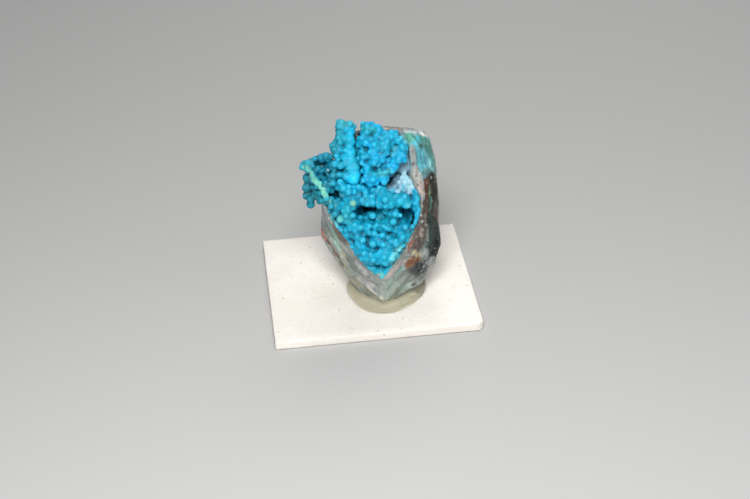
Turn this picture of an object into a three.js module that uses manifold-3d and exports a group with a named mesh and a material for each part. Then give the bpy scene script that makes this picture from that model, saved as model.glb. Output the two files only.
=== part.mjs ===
// A chrysocolla specimen: a wedge of quartz rock with a blue, knobbly growth in its hollow front, held
// upright by a puck of clear putty on a small square of white foam.
// Millimetres, +Z up. The origin is at the middle of the foam's underside, and the front looks along -Y.

import * as THREE from 'three';
import { mergeVertices } from 'three/addons/utils/BufferGeometryUtils.js';
import Module from 'manifold-3d';

const wasm = await Module();
wasm.setup();

// Driving dimensions

const GAP = 0.3; // left free between pieces that touch
const GAP_REACH = GAP * 1.15; // how far a neighbour's corners move out to leave that gap beside its faces
const SLAB_SIDE = 55;
const SLAB_THICK = 2.5;
const SLAB_SNIP = 1.3; // the cut-off front right corner

const PUTTY_RADIUS = 10.55;
const PUTTY_LOBES = 3; // pressed with a thumb
const PUTTY_LOBE_OUT = 0.7; // how far they stand out
const PUTTY_LOBE_TURN = THREE.MathUtils.degToRad(258);
const PUTTY_HEIGHT = 2.5;
const PUTTY_SIDES = 30;
const PUTTY_CENTRE = [3.8, -7.6];
// Section of the puck's rounded edge: inset from the rim, and height
const PUTTY_EDGE = [
  [0.24, 0],
  [0, 0.48],
  [0, 1.7],
  [0.28, 2.26],
  [0.96, PUTTY_HEIGHT],
];

// The specimen leans back and is turned a little to its right. Its own axes are right, up the face and
// out of the face, with their origin at the lowest corner of the blue window.
const LEAN = THREE.MathUtils.degToRad(25);
const YAW = THREE.MathUtils.degToRad(-10);
const WINDOW_CORNER = [2.5, -16, 12];
const PUTTY_FLOOR = 1; // putty left under the rock's foot
const FOOT_Z = SLAB_THICK + GAP + PUTTY_FLOOR;

const specimen = new THREE.Group();
specimen.position.set(...WINDOW_CORNER);
specimen.rotation.set(-LEAN, 0, YAW, 'ZYX');
specimen.updateMatrixWorld(true);

// A point of the specimen: right, up the face, out of the face
const at = (right, up, out) => new THREE.Vector3(right, -out, up);

// Repeatable random numbers from 0 to 1: each is a fixed multiple of the last one, plus a fixed step
const RANDOM_RANGE = 2 ** 31;
const RANDOM_MULTIPLE = 1103515245;
const RANDOM_STEP = 12345;
let seed = 7;
function random() {
  seed = (seed * RANDOM_MULTIPLE + RANDOM_STEP) % RANDOM_RANGE;
  return seed / RANDOM_RANGE;
}
const jitter = (reach) => (random() * 2 - 1) * reach;

// Lumps: distance along a stem as a share of two neighbours' radii, and how far one strays
const STEM_SPACING = 0.82;
const WANDER = 0.3;
// How much lumps differ: in size along a stem, in size over an area, and in length against width
const STEM_UNEVEN = 0.12;
const AREA_UNEVEN = 0.16;
const SQUEEZE = 0.09;
// Rows over an area are closer together than the lumps in a row
const ROW_STEP = 0.86;
// A dodecahedron's corners stand out this much, so that its faces lie where a ball's would
const CORNER_OUT = 1.06;
const SMALL_LUMP = 1.85; // below this radius a lump is a dodecahedron

// Solids from geometries, and back
const MERGE_DISTANCE = 1e-4;

// Positions alone, with shared points merged
function bareMesh(geometry) {
  const bare = geometry.clone();
  bare.deleteAttribute('normal');
  bare.deleteAttribute('uv');
  return mergeVertices(bare, MERGE_DISTANCE);
}

function toSolid(geometry) {
  const merged = bareMesh(geometry);
  return new wasm.Manifold(new wasm.Mesh({
    numProp: 3,
    vertProperties: new Float32Array(merged.attributes.position.array),
    triVerts: new Uint32Array(merged.index.array),
  }));
}

function toGeometry(solid) {
  const mesh = solid.getMesh();
  const geometry = new THREE.BufferGeometry();
  geometry.setAttribute('position', new THREE.BufferAttribute(new Float32Array(mesh.vertProperties), 3));
  geometry.setIndex(Array.from(mesh.triVerts));
  geometry.computeVertexNormals();
  return geometry;
}

const joined = (solids) => solids.reduce((whole, solid) => whole.add(solid));

// The largest body alone, without crumbs and without bubbles closed in between lumps
function mainBody(solid) {
  const bodies = solid.decompose();
  return bodies.reduce((best, body) => (body.volume() > best.volume() ? body : best));
}

// The same shape with every point moved outwards
function grown(geometry, reach) {
  const merged = bareMesh(geometry);
  merged.computeVertexNormals();
  const { position, normal } = merged.attributes;
  for (let i = 0; i < position.count; i += 1) {
    const moved = new THREE.Vector3().fromBufferAttribute(position, i);
    moved.addScaledVector(new THREE.Vector3().fromBufferAttribute(normal, i), reach);
    position.setXYZ(i, moved.x, moved.y, moved.z);
  }
  return merged;
}

// A plate with the given outline in the face, between two depths
function plate(outline, from, to, extra = 0) {
  const middle = outline.reduce((sum, p) => sum.add(new THREE.Vector2(...p)), new THREE.Vector2())
    .divideScalar(outline.length);
  const points = outline.map((p) => {
    const point = new THREE.Vector2(...p);
    return point.add(point.clone().sub(middle).setLength(extra));
  });
  const geometry = new THREE.ExtrudeGeometry(new THREE.Shape(points), {
    depth: to - from + 2 * extra,
    bevelEnabled: false,
  });
  geometry.translate(0, 0, from - extra);
  geometry.rotateX(Math.PI / 2);
  return toSolid(geometry);
}

// One rounded lump, a little uneven; a small one has fewer faces
function lump({ right, up, out, radius, turn, squeeze }, extra = 0) {
  const geometry = radius < SMALL_LUMP
    ? new THREE.DodecahedronGeometry((radius + extra) * CORNER_OUT)
    : new THREE.IcosahedronGeometry(radius + extra, 1);
  geometry.scale(1, squeeze, 1 / squeeze);
  geometry.rotateX(turn[0]);
  geometry.rotateZ(turn[1]);
  const centre = at(right, up, out);
  geometry.translate(centre.x, centre.y, centre.z);
  return toSolid(geometry);
}

function makeLump(right, up, out, radius) {
  return { right, up, out, radius, turn: [jitter(Math.PI), jitter(Math.PI)], squeeze: 1 + jitter(SQUEEZE) };
}

// Lumps strung along a stem: points of right, up and out, then the radius at each end
function stem(points, startRadius, endRadius, closed = false) {
  const curve = new THREE.CatmullRomCurve3(points.map((p) => new THREE.Vector3(...p)), closed);
  const spacing = (startRadius + endRadius) * STEM_SPACING;
  const count = Math.max(1, Math.round(curve.getLength() / spacing));
  const lumps = [];
  for (let i = 0; i <= count; i += 1) {
    const p = curve.getPointAt(i / count);
    const radius = THREE.MathUtils.lerp(startRadius, endRadius, i / count) * (1 + jitter(STEM_UNEVEN));
    lumps.push(makeLump(p.x + jitter(WANDER), p.y + jitter(WANDER), p.z + jitter(WANDER), radius));
  }
  return lumps;
}

// Quartz matrix: rings of points from the rim of the hollow, back over the ledges of the side faces, to
// the rough back. Each row gives one ray of the outline: at the rim, then at the widest ring.
const ROCK_RAYS = [
  [0.3, 0.2, 0.6, -8.6],
  [3.7, 4.5, 5.6, -4.9],
  [5.8, 6.9, 9.8, -2.4],
  [7.3, 10.4, 13.2, 3.4],
  [9.4, 14.3, 14.7, 8.2],
  [10.3, 17.4, 14.2, 14.4],
  [10.4, 21.6, 14.5, 19.0],
  [8.8, 23.6, 14.0, 23.2],
  [7.7, 26.5, 13.7, 28.2],
  [7.7, 30.0, 12.9, 32.4],
  [7.2, 34.9, 12.0, 36.6],
  [5.1, 38.0, 10.7, 38.4],
  [3.0, 39.0, 6.4, 39.0],
  [0.0, 39.2, 1.4, 39.6],
  [-4.0, 38.8, -4.0, 39.2],
  [-7.6, 38.0, -8.0, 38.2],
  [-10.6, 35.0, -10.9, 35.0],
  [-12.5, 30.5, -12.8, 30.4],
  [-14.4, 25.5, -14.9, 25.0],
  [-15.7, 20.0, -16.6, 19.0],
  [-14.5, 16.5, -17.0, 14.4],
  [-12.7, 13.4, -16.8, 10.4],
  [-10.3, 10.9, -15.0, 6.9],
  [-8.2, 7.9, -12.8, 3.4],
  [-6.1, 5.2, -9.8, -1.8],
  [-3.4, 2.4, -5.8, -5.4],
];
const ROCK_HEART = [-1.5, 20];
// Rings: depth, share of the way from rim to widest ring, and size about the heart
const ROCK_RINGS = [
  [-4.6, 0, 0.45],
  [-4.4, 0, 0.84],
  [-1.6, 0, 0.91],
  [0, 0, 1],
  [-1.3, 0.2, 1],
  [-1.9, 0.34, 1],
  [-3.6, 0.46, 1],
  [-4.3, 0.62, 1],
  [-6.4, 0.76, 1],
  [-7.2, 0.93, 1],
  [-9.4, 1, 1],
  [-13.0, 0.96, 0.98],
  [-16.8, 0.88, 0.93],
  [-19.3, 0.75, 0.7],
  [-20.2, 0.6, 0.34],
];
const ROCK_ROUGHNESS = 0.28;
const ROCK_BACK = -10; // deeper than this the break is rougher
const BACK_ROUGHNESS = ROCK_ROUGHNESS * 2;

function rockRing([out, share, size]) {
  const points = [];
  const rough = share === 0 ? 0 : ROCK_ROUGHNESS;
  const roughOut = share !== 0 && out < ROCK_BACK ? BACK_ROUGHNESS : rough;
  for (const [rimRight, rimUp, sideRight, sideUp] of ROCK_RAYS) {
    const right = THREE.MathUtils.lerp(rimRight, sideRight, share);
    const up = THREE.MathUtils.lerp(rimUp, sideUp, share);
    points.push(at(
      ROCK_HEART[0] + (right - ROCK_HEART[0]) * size + jitter(rough),
      ROCK_HEART[1] + (up - ROCK_HEART[1]) * size + jitter(rough),
      out + jitter(roughOut),
    ));
  }
  return points;
}

// A closed skin over a row of rings, with a middle point at each end
function skinOver(rings) {
  const count = rings[0].length;
  const middles = [rings[0], rings.at(-1)].map((ring) => ring
    .reduce((sum, p) => sum.add(p), new THREE.Vector3())
    .divideScalar(count));
  const points = [...rings.flat(), ...middles];
  const first = points.length - 2;
  const last = points.length - 1;
  const faces = [];
  for (let side = 0; side < count; side += 1) {
    const next = (side + 1) % count;
    for (let ring = 0; ring < rings.length - 1; ring += 1) {
      const a = ring * count + side;
      const b = ring * count + next;
      faces.push(a, a + count, b, b, a + count, b + count);
    }
    faces.push(first, side, next);
    faces.push(last, (rings.length - 1) * count + next, (rings.length - 1) * count + side);
  }
  const geometry = new THREE.BufferGeometry().setFromPoints(points);
  geometry.setIndex(faces);
  return geometry;
}

// Everything above a level of the table, in the specimen's own axes
function aboveLevel(level) {
  const size = SLAB_SIDE * 2;
  const block = new THREE.BoxGeometry(size, size, size);
  block.translate(0, 0, level + size / 2);
  block.applyMatrix4(specimen.matrixWorld.clone().invert());
  return toSolid(block);
}

const rockSkin = skinOver(ROCK_RINGS.map(rockRing));
const rock = mainBody(toSolid(rockSkin).intersect(aboveLevel(FOOT_Z)));
const rockAndGap = toSolid(grown(rockSkin, GAP_REACH));

// Chrysocolla fan: a thick plate of lumps at the upper right
const FAN_OUTLINE = [
  [-3.7, 39.2],
  [-1.6, 38.7],
  [1.0, 37.0],
  [4.3, 36.4],
  [5.4, 34.2],
  [5.0, 31.8],
  [3.2, 29.4],
  [1.2, 27.6],
  [-1.2, 26.4],
  [-3.2, 26.2],
  [-4.0, 28.6],
  [-3.9, 33.0],
];
const FAN_MIDDLE = [
  [-3.0, 37.4],
  [3.4, 36.0],
  [4.0, 34.0],
  [-1.0, 28.4],
  [-2.6, 28.8],
];
const FAN_DEPTH = [-0.6, 2.8];
const FAN_LUMPS = { radius: 2.05, edgeOut: 2.2, middleOut: 3.2, middleWander: 0.5 };
const FAN_SPACING = 3.6;

// Chrysocolla spire: two stems side by side at the upper left
const SPIRE_OUTLINE = [
  [-10.6, 39.4],
  [-7.4, 39.6],
  [-7.2, 33.0],
  [-7.2, 26.4],
  [-12.0, 26.6],
  [-12.4, 33.4],
  [-11.0, 36.6],
];
const SPIRE_DEPTH = [-0.6, 1.6];
const SPIRE_STEMS = [
  [[[-7.9, 26.6, 2.0], [-8.0, 31, 2.2], [-8.4, 36, 2.2], [-8.1, 39.3, 1.6]], 2.1, 1.8],
  [[[-11.4, 27.6, 1.6], [-11.3, 31.2, 2.2], [-11.6, 34.2, 1.6], [-10.3, 37.4, 1.6], [-10.0, 39.8, 1.6]], 2.0, 1.8],
];

// Left branch: an arm, its mint green edge, and pendants below
const ARM_OUTLINE = [
  [-20.0, 29.9],
  [-17.0, 31.0],
  [-13.8, 31.8],
  [-13.2, 27.0],
  [-12.9, 22.8],
  [-14.2, 22.6],
  [-16.2, 25.6],
  [-18.6, 28.2],
];
const ARM_DEPTH = [-0.6, 0.8];
const ARM_STEMS = [
  [[[-14.2, 31.7, 0.9], [-17.4, 31.0, 0.9], [-20.7, 29.7, 0.4]], 1.7, 1.3],
  [[[-19.0, 28.2, 1.2], [-17.0, 25.6, 1.6], [-14.9, 22.6, 1.8], [-13.0, 19.8, 1.8], [-12.0, 17.6, 1.4]], 1.4, 1.2],
  [[[-14.0, 28.0, 0.6], [-13.7, 24.6, 0.6]], 1.7, 1.7],
  [[[-19.7, 26.4, -1.6], [-19.9, 23.4, -2.6], [-18.9, 20.9, -3.0]], 1.8, 1.7],
  [[[-17.6, 25.0, -0.9], [-17.4, 22.4, -2.2], [-15.6, 20.4, -1.2]], 1.7, 1.6],
];

// Crust: a sheet over the floor of the hollow, with lumps in staggered rows
const CRUST_DEPTH = [-5.2, -1.0];
const CRUST_SPACING = 4.3;
const CRUST_RADIUS = 2.75;
const CRUST_OUT = -0.5;
const CRUST_WANDER = 0.3; // of a lump's height
// Sizes about the rock's heart, as shares of the hollow's rim: the sheet, and the area of the lumps
const SHEET_SHARE = [0.95, 0.95];
const LUMPS_SHARE = [0.88, 0.9];
const FORKS_UP = 24; // above this the forks cover the crust
// Regions that stand higher than the rest: middle, half sizes, rise. A rise ends at RISE_END half sizes
// from its middle, and is full up to RISE_FADE before that.
const RISE_END = 1.3;
const RISE_FADE = 0.8;
const CRUST_RISES = [
  { right: -2.2, up: 21.6, width: 5.4, height: 3.4, rise: 2.2 },
  { right: 6.0, up: 20.4, width: 4.4, height: 2.8, rise: 1.4 },
  { right: -9.8, up: 22.0, width: 3.4, height: 5.0, rise: 1.9 },
  { right: -1.0, up: 9.0, width: 4.4, height: 4.6, rise: 0.9 },
];
// Dark caves between the lumps: middle and radius
const CAVES = [
  [-4.7, 17.2, -0.6, 2.2],
  [-1.9, 17.8, -0.4, 1.8],
  [7.2, 15.8, -0.6, 2.4],
  [1.6, 11.2, -0.2, 1.5],
  [1.8, 25.4, -0.4, 2.0],
  [-12.3, 22.1, -0.2, 1.6],
];
const ARM_CAVES = [
  [-15.8, 29.4, 1.6, 1.3],
  [-15.7, 26.9, 1.2, 1.0],
];
const CAVE_MARGIN = 0.4; // kept free of lumps around a cave

const clearOf = (holes, right, up, margin) => holes.every((hole) => (
  Math.hypot(right - hole[0], up - hole[1]) > hole[3] + margin
));

function insideOutline(outline, right, up) {
  let inside = false;
  outline.forEach(([ax, ay], i) => {
    const [bx, by] = outline[(i + 1) % outline.length];
    if ((ay > up) !== (by > up) && right < ((bx - ax) * (up - ay)) / (by - ay) + ax) {
      inside = !inside;
    }
  });
  return inside;
}

// Lumps over an outline in staggered rows; height gives how far out each one sits
function rowsOfLumps(outline, spacing, radius, height) {
  const ups = outline.map((p) => p[1]);
  const rights = outline.map((p) => p[0]);
  const lumps = [];
  let row = 0;
  for (let up = Math.min(...ups); up <= Math.max(...ups); up += spacing * ROW_STEP) {
    const start = Math.min(...rights) + ((row % 2) * spacing) / 2;
    for (let right = start; right <= Math.max(...rights); right += spacing) {
      const spot = [right + jitter(WANDER), up + jitter(WANDER)];
      if (insideOutline(outline, ...spot)) {
        lumps.push(makeLump(...spot, height(...spot), radius * (1 + jitter(AREA_UNEVEN))));
      }
    }
    row += 1;
  }
  return lumps;
}

const growth = (outline, depth, lumps, extra = 0) => joined([
  plate(outline, ...depth, extra),
  ...lumps.map((one) => lump(one, extra)),
]);
function caveSolid([right, up, out, radius]) {
  const geometry = new THREE.DodecahedronGeometry(radius * CORNER_OUT);
  const centre = at(right, up, out);
  geometry.translate(centre.x, centre.y, centre.z);
  return toSolid(geometry);
}

const fanEdge = FAN_OUTLINE.map(([right, up]) => [right, up, FAN_LUMPS.edgeOut]);
const fanLumps = [
  ...stem(fanEdge, FAN_LUMPS.radius, FAN_LUMPS.radius, true),
  ...rowsOfLumps(FAN_MIDDLE, FAN_SPACING, FAN_LUMPS.radius, () => (
    FAN_LUMPS.middleOut + jitter(FAN_LUMPS.middleWander)
  )),
];
const fan = mainBody(growth(FAN_OUTLINE, FAN_DEPTH, fanLumps).subtract(rockAndGap));
const fanAndGap = growth(FAN_OUTLINE, FAN_DEPTH, fanLumps, GAP_REACH);

const spireLumps = SPIRE_STEMS.flatMap((one) => stem(...one));
const spire = mainBody(growth(SPIRE_OUTLINE, SPIRE_DEPTH, spireLumps)
  .subtract(rockAndGap)
  .subtract(fanAndGap));
const spireAndGap = growth(SPIRE_OUTLINE, SPIRE_DEPTH, spireLumps, GAP_REACH);

const armLumps = ARM_STEMS.flatMap((one) => stem(...one));
const arm = mainBody(growth(ARM_OUTLINE, ARM_DEPTH, armLumps)
  .subtract(joined(ARM_CAVES.map(caveSolid)))
  .subtract(rockAndGap)
  .subtract(spireAndGap));
const armAndGap = growth(ARM_OUTLINE, ARM_DEPTH, armLumps, GAP_REACH);

// The hollow's rim, drawn in towards the rock's heart
const rimAt = (share) => ROCK_RAYS.map(([right, up]) => [
  ROCK_HEART[0] + (right - ROCK_HEART[0]) * share[0],
  ROCK_HEART[1] + (up - ROCK_HEART[1]) * share[1],
]);

function crustHeight(right, up) {
  const rises = CRUST_RISES.map((one) => {
    const away = Math.hypot((right - one.right) / one.width, (up - one.up) / one.height);
    return one.rise * THREE.MathUtils.smoothstep(RISE_END - away, 0, RISE_FADE);
  });
  return CRUST_OUT + Math.max(...rises) + jitter(CRUST_WANDER);
}

const underForks = (right, up) => up > FORKS_UP && (
  insideOutline(FAN_OUTLINE, right, up)
  || insideOutline(SPIRE_OUTLINE, right, up)
  || right > 0
);
const crustLumps = rowsOfLumps(rimAt(LUMPS_SHARE), CRUST_SPACING, CRUST_RADIUS, crustHeight)
  .filter((one) => clearOf(CAVES, one.right, one.up, CAVE_MARGIN))
  .filter((one) => !underForks(one.right, one.up));
const crust = mainBody(growth(rimAt(SHEET_SHARE), CRUST_DEPTH, crustLumps)
  .subtract(joined(CAVES.map(caveSolid)))
  .subtract(rockAndGap)
  .subtract(fanAndGap)
  .subtract(spireAndGap)
  .subtract(armAndGap));

// Putty: a flat pressed puck with a rounded edge and three soft lobes, dented by the rock's foot
function puttyGeometry() {
  const profile = [
    [0, 0],
    ...PUTTY_EDGE.map(([inset, height]) => [PUTTY_RADIUS - inset, height]),
    [0, PUTTY_HEIGHT],
  ].map((p) => new THREE.Vector2(...p));
  const geometry = new THREE.LatheGeometry(profile, PUTTY_SIDES);
  geometry.rotateX(Math.PI / 2);
  const { position } = geometry.attributes;
  for (let i = 0; i < position.count; i += 1) {
    const angle = Math.atan2(position.getY(i), position.getX(i));
    const wave = Math.cos(PUTTY_LOBES * (angle - PUTTY_LOBE_TURN));
    const lobe = 1 + (PUTTY_LOBE_OUT / PUTTY_RADIUS) * wave;
    position.setX(i, position.getX(i) * lobe);
    position.setY(i, position.getY(i) * lobe);
  }
  geometry.translate(...PUTTY_CENTRE, SLAB_THICK + GAP);
  return geometry;
}

const rockFoot = toSolid(grown(toGeometry(rock).applyMatrix4(specimen.matrixWorld), GAP_REACH));
const putty = mainBody(toSolid(puttyGeometry()).subtract(rockFoot));

// Foam slab: a square with one front corner cut off
function slabGeometry() {
  const half = SLAB_SIDE / 2;
  const outline = [
    [-half, -half],
    [half - SLAB_SNIP, -half],
    [half, -half + SLAB_SNIP],
    [half, half],
    [-half, half],
  ].map((p) => new THREE.Vector2(...p));
  return new THREE.ExtrudeGeometry(new THREE.Shape(outline), { depth: SLAB_THICK, bevelEnabled: false });
}

function piece(name, geometry, color, roughness) {
  const mesh = new THREE.Mesh(geometry, new THREE.MeshStandardMaterial({ color, roughness, metalness: 0 }));
  mesh.name = name;
  return mesh;
}

specimen.add(
  piece('quartz_matrix', toGeometry(rock), '#8f9a90', 0.45),
  piece('chrysocolla_crust', toGeometry(crust), '#1f9fca', 0.42),
  piece('chrysocolla_fan', toGeometry(fan), '#27a8de', 0.4),
  piece('chrysocolla_spire', toGeometry(spire), '#2fb0e0', 0.4),
  piece('chrysocolla_left_branch', toGeometry(arm), '#2f9aa6', 0.42),
);

const group = new THREE.Group();
group.add(
  piece('foam_slab', slabGeometry(), '#f2efe9', 0.85),
  piece('mounting_putty', toGeometry(putty), '#c9cdb4', 0.3),
  specimen,
);

export default group;
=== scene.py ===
import math
import random

import bmesh
import bpy
import numpy as np
from mathutils import Euler, Matrix, Vector, noise


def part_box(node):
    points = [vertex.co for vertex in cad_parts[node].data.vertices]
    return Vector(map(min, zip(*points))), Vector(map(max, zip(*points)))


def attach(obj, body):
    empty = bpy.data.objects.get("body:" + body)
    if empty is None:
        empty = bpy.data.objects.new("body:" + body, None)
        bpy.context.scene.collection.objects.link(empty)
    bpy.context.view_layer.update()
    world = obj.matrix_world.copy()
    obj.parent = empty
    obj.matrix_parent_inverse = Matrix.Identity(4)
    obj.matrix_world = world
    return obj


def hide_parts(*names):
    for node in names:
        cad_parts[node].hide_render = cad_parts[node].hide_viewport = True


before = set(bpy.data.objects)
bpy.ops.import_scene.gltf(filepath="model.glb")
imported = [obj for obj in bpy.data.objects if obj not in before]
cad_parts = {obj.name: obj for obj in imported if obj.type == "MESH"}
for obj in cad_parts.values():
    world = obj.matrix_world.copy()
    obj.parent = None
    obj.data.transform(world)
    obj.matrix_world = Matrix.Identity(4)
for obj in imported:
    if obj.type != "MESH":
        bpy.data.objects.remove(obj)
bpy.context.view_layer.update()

# Foam slab: a square cut with a knife from a thin sheet of white expanded polystyrene. The bead grain
# shows as shallow dents on its faces, and its cut edges are a little ragged.

MM = 0.001
MERGE_WITHIN = 0.001 * MM
BEAD = 1.1 * MM
BEAD_RELIEF = 0.07 * MM
EDGE_WAVE = 5.0 * MM
EDGE_RAGGED = 0.35 * MM
RAGGED_FULL = 0.1 * MM
RAGGED_END = 2 * MM
FOAM_VOXEL = 0.3 * MM
FOAM_GRAIN = 0.35 * MM
FOAM_CLOUD = 9 * MM
SPECKS_PER_MM = 0.3


def linear(code):
    """A colour for a shader, from its sRGB hex code."""
    parts = [int(code[i:i + 2], 16) / 255 for i in (1, 3, 5)]
    return (*[p / 12.92 if p <= 0.04045 else ((p + 0.055) / 1.055) ** 2.4 for p in parts], 1)


def add(tree, kind, settings=(), links=()):
    """Adds a node. A setting or link is named by its socket's name or number, or by its property."""
    node = tree.nodes.new(kind)
    for name, value in dict(settings).items():
        if isinstance(name, int) or name in node.inputs:
            node.inputs[name].default_value = value
        else:
            setattr(node, name, value)
    for name, socket in dict(links).items():
        tree.links.new(socket, node.inputs[name])
    return node


def new_tree(name, sizes, counts=()):
    """An empty shape tree with named inputs: the shape, sizes, whole numbers and the finish."""
    tree = bpy.data.node_groups.new(name, "GeometryNodeTree")
    inputs = {"Geometry": ["Shape"], "Float": sizes, "Int": counts, "Material": ["Finish"]}
    for kind, labels in inputs.items():
        for label in labels:
            tree.interface.new_socket(label, in_out="INPUT", socket_type="NodeSocket" + kind)
    tree.interface.new_socket("Shape", in_out="OUTPUT", socket_type="NodeSocketGeometry")
    return tree, tree.nodes.new("NodeGroupInput"), tree.nodes.new("NodeGroupOutput")


def end_tree(tree, given, result, shape):
    """The tree's end: instances made real, and the finish set."""
    real = add(tree, "GeometryNodeRealizeInstances", links={0: shape}).outputs[0]
    finish = given.outputs["Finish"]
    finished = add(tree, "GeometryNodeSetMaterial", links={0: real, "Material": finish}).outputs[0]
    tree.links.new(finished, result.inputs[0])


def settle(piece):
    """Turns a piece and its modifiers into a plain mesh."""
    evaluated = piece.evaluated_get(bpy.context.evaluated_depsgraph_get())
    mesh = bpy.data.meshes.new_from_object(evaluated)
    piece.modifiers.clear()
    piece.data = mesh


def run_tree(piece, tree, **sizes):
    """Runs a shape tree on a piece with the sizes given, each by its input's label."""
    modifier = piece.modifiers.new(tree.name, "NODES")
    modifier.node_group = tree
    labels = {label.replace("_", " ").capitalize(): value for label, value in sizes.items()}
    for item in tree.interface.items_tree:
        if item.in_out == "INPUT" and item.name in labels:
            modifier[item.identifier] = labels[item.name]
    settle(piece)


def copy_of(node, name):
    """A new piece with a solid's shape, its loose triangles merged."""
    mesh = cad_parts[node].data.copy()
    mesh.materials.clear()
    shape = bmesh.new()
    shape.from_mesh(mesh)
    bmesh.ops.remove_doubles(shape, verts=shape.verts, dist=MERGE_WITHIN)
    shape.to_mesh(mesh)
    shape.free()
    piece = bpy.data.objects.new(name, mesh)
    bpy.context.collection.objects.link(piece)
    return piece


def remesh(piece, voxel, rounds):
    """An even skin of small faces, smoothed for some rounds."""
    skin = piece.modifiers.new("skin", "REMESH")
    skin.mode = "VOXEL"
    skin.voxel_size = voxel
    smooth = piece.modifiers.new("smooth", "SMOOTH")
    smooth.iterations = rounds
    settle(piece)


def hand_over(piece, node, finish):
    """Gives the piece its finish and smooth shading, hangs it on the root, and hides the solid it stands
    for.
    """
    piece.data.materials.clear()
    piece.data.materials.append(finish)
    piece.data.shade_smooth()
    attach(piece, "root")
    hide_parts(node)


def new_finish(name, values):
    """A material with even values for its shader. Gives it, its tree, its shader and its patterns' place."""
    finish = bpy.data.materials.new(name)
    finish.use_nodes = True
    tree = finish.node_tree
    shader = tree.nodes["Principled BSDF"]
    for label, value in values.items():
        shader.inputs[label].default_value = value
    place = add(tree, "ShaderNodeTexCoord").outputs["Object"]
    return finish, tree, shader, place


def stained(tree, ground, stains):
    """A ground colour with stains laid over it. Each has its colour, the pattern that places it, the
    pattern's values where it starts and where it is full, and its share there. A colour is a code or a
    socket."""
    tint = ground
    for stain, pattern, start, full, share in stains:
        amount = add(tree, "ShaderNodeMapRange", {
            "interpolation_type": "SMOOTHSTEP",
            "From Min": start,
            "From Max": full,
            "To Max": share,
        }, {"Value": pattern}).outputs[0]
        mix = add(tree, "ShaderNodeMix", {"data_type": "RGBA"}, {0: amount})
        for socket, colour in ((mix.inputs[6], tint), (mix.inputs[7], stain)):
            if isinstance(colour, str):
                socket.default_value = linear(colour)
            else:
                tree.links.new(colour, socket)
        tint = mix.outputs[2]
    return tint


def raised(tree, shader, reliefs):
    """Fine relief from patterns, one over the other, each with its depth and its strength."""
    below = {}
    for pattern, depth, strength in reliefs:
        relief = add(tree, "ShaderNodeBump", {"Strength": strength, "Distance": depth},
                     {"Height": pattern, **below}).outputs[0]
        below = {"Normal": relief}
    tree.links.new(relief, shader.inputs["Normal"])


# Expanded polystyrene: closed beads fused together, matt white, and a little light passes into it.
# A noise pattern's patches are about half as wide as one over its scale, here and below.
expanded_foam, tree, shader, place = new_finish("expanded_polystyrene", {
    "Roughness": 0.62,
    "IOR": 1.45,
    "Subsurface Weight": 0.25,
    "Subsurface Radius": (1, 0.95, 0.9),
    "Subsurface Scale": 1.2 * MM,
})
beads = add(tree, "ShaderNodeTexVoronoi", {"feature": "SMOOTH_F1", "Scale": 1 / BEAD, "Smoothness": 0.4},
            {"Vector": place}).outputs["Distance"]
specks = add(tree, "ShaderNodeTexVoronoi", {"Scale": SPECKS_PER_MM / MM},
             {"Vector": place}).outputs["Distance"]
fine, cloud = [
    add(tree, "ShaderNodeTexNoise", {"Scale": 0.5 / size, "Detail": 2, "Roughness": 0.55},
        {"Vector": place}).outputs[0]
    for size in (FOAM_GRAIN, FOAM_CLOUD)
]
tint = stained(tree, "#f1e9e0", [
    ("#fbf5ed", cloud, 0.3, 0.7, 1),
    ("#cfc5ba", fine, 0.58, 0.75, 0.5),
    ("#8f867c", specks, 0.10, 0.05, 0.7),
])
tree.links.new(tint, shader.inputs["Base Color"])
raised(tree, shader, [(fine, 0.12 * MM, 0.6), (beads, 0.06 * MM, 0.3)])

foam_skin, given, result = new_tree("foam skin", ["Bead", "Relief", "Wave", "Ragged", "Half side"])
spot = add(foam_skin, "GeometryNodeInputPosition").outputs[0]
facing = add(foam_skin, "GeometryNodeInputNormal").outputs[0]
per_bead, per_wave = [
    add(foam_skin, "ShaderNodeMath", {"operation": "DIVIDE", 0: 1.0}, {1: given.outputs[size]}).outputs[0]
    for size in ("Bead", "Wave")
]
cells = add(foam_skin, "ShaderNodeTexVoronoi", {"feature": "SMOOTH_F1"},
            {"Vector": spot, "Scale": per_bead}).outputs["Distance"]
waves = add(foam_skin, "ShaderNodeTexNoise", {"Detail": 5.0, "Roughness": 0.62},
            {"Vector": spot, "Scale": per_wave}).outputs[0]
dent, nick = [
    add(foam_skin, "ShaderNodeMath", {"operation": "MULTIPLY"},
        {0: pattern, 1: given.outputs[depth]}).outputs[0]
    for pattern, depth in ((cells, "Relief"), (waves, "Ragged"))
]
# The ragged cut is at the rim alone: it fades out within two millimetres of the edge
far = add(foam_skin, "ShaderNodeVectorMath", {"operation": "ABSOLUTE"}, {0: spot}).outputs[0]
axes = add(foam_skin, "ShaderNodeSeparateXYZ", links={0: far}).outputs
reach = add(foam_skin, "ShaderNodeMath", {"operation": "MAXIMUM"}, {0: axes[0], 1: axes[1]}).outputs[0]
inset = add(foam_skin, "ShaderNodeMath", {"operation": "SUBTRACT"},
            {0: given.outputs["Half side"], 1: reach}).outputs[0]
at_rim = add(foam_skin, "ShaderNodeMapRange", {
    "interpolation_type": "SMOOTHSTEP",
    "From Min": RAGGED_FULL,
    "From Max": RAGGED_END,
    "To Min": 1.0,
    "To Max": 0.0,
}, {"Value": inset}).outputs[0]
cut = add(foam_skin, "ShaderNodeMath", {"operation": "MULTIPLY"}, {0: nick, 1: at_rim}).outputs[0]
drop = add(foam_skin, "ShaderNodeMath", {"operation": "ADD"}, {0: dent, 1: cut}).outputs[0]
inward = add(foam_skin, "ShaderNodeMath", {"operation": "MULTIPLY", 1: -1.0}, {0: drop}).outputs[0]
shift = add(foam_skin, "ShaderNodeVectorMath", {"operation": "SCALE"},
            {0: facing, "Scale": inward}).outputs[0]
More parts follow.
